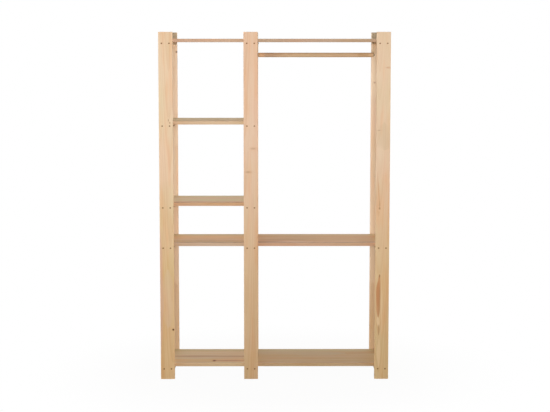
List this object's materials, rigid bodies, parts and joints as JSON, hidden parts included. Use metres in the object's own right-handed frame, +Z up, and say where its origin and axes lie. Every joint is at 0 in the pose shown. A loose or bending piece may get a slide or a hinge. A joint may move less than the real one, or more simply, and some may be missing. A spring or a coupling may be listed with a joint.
{
  "type": "open frame wardrobe",
  "caption": "Open pine wardrobe: nailed ladder frames carry shelves in a narrow bay, and a wider bay has shelves and a turning clothes rail.",
  "frame": {"origin": "on the floor, under the middle of the outer frame", "axes": "+Z up, +X to the right seen from the front (the wider bay with the rail is on the right), -Y to the front"},
  "size_m": [1.12, 0.4, 1.7],
  "materials": {
    "pine_frame": "raw planed pine",
    "pine_shelf": "raw glued pine board",
    "pine_rail": "raw turned pine",
    "nail_steel": "dark coated",
    "zinc_steel": "zinc plated"
  },
  "bodies": {
    "frame": {"post_left_front": "pine_frame", "post_left_rear": "pine_frame", "post_centre_front": "pine_frame", "post_centre_rear": "pine_frame", "post_right_front": "pine_frame", "post_right_rear": "pine_frame", "rung_left_bottom": "pine_frame", "rung_left_lower": "pine_frame", "rung_left_middle": "pine_frame", "rung_left_upper": "pine_frame", "rung_left_top": "pine_frame", "rung_centre_bottom": "pine_frame", "rung_centre_lower": "pine_frame", "rung_centre_middle": "pine_frame", "rung_centre_upper": "pine_frame", "rung_centre_top": "pine_frame", "rung_right_bottom": "pine_frame", "rung_right_lower": "pine_frame", "rung_right_top": "pine_frame", "shelf_left_bottom": "pine_shelf", "shelf_left_lower": "pine_shelf", "shelf_left_middle": "pine_shelf", "shelf_left_upper": "pine_shelf", "shelf_left_top": "pine_shelf", "shelf_right_bottom": "pine_shelf", "shelf_right_lower": "pine_shelf", "shelf_right_top": "pine_shelf", "nails_left_front": "nail_steel", "nails_left_rear": "nail_steel", "nails_centre_front": "nail_steel", "nails_centre_rear": "nail_steel", "nails_right_front": "nail_steel", "nails_right_rear": "nail_steel", "brads_left_bottom": "nail_steel", "brads_left_lower": "nail_steel", "brads_left_middle": "nail_steel", "brads_left_upper": "nail_steel", "brads_left_top": "nail_steel", "brads_right_bottom": "nail_steel", "brads_right_lower": "nail_steel", "brads_right_top": "nail_steel", "rail_hanger_left": "zinc_steel", "rail_hanger_right": "zinc_steel", "hanger_screws": "zinc_steel"},
    "rail": {"clothes_rail": "pine_rail", "pivot_screws": "zinc_steel"}
  },
  "joints": [
    {"name": "rail_turn", "type": "hinge", "parent": "frame", "child": "rail", "pos_m": [0.205, 0, 1.588], "axis": [1, 0, 0], "continuous": true}
  ]
}
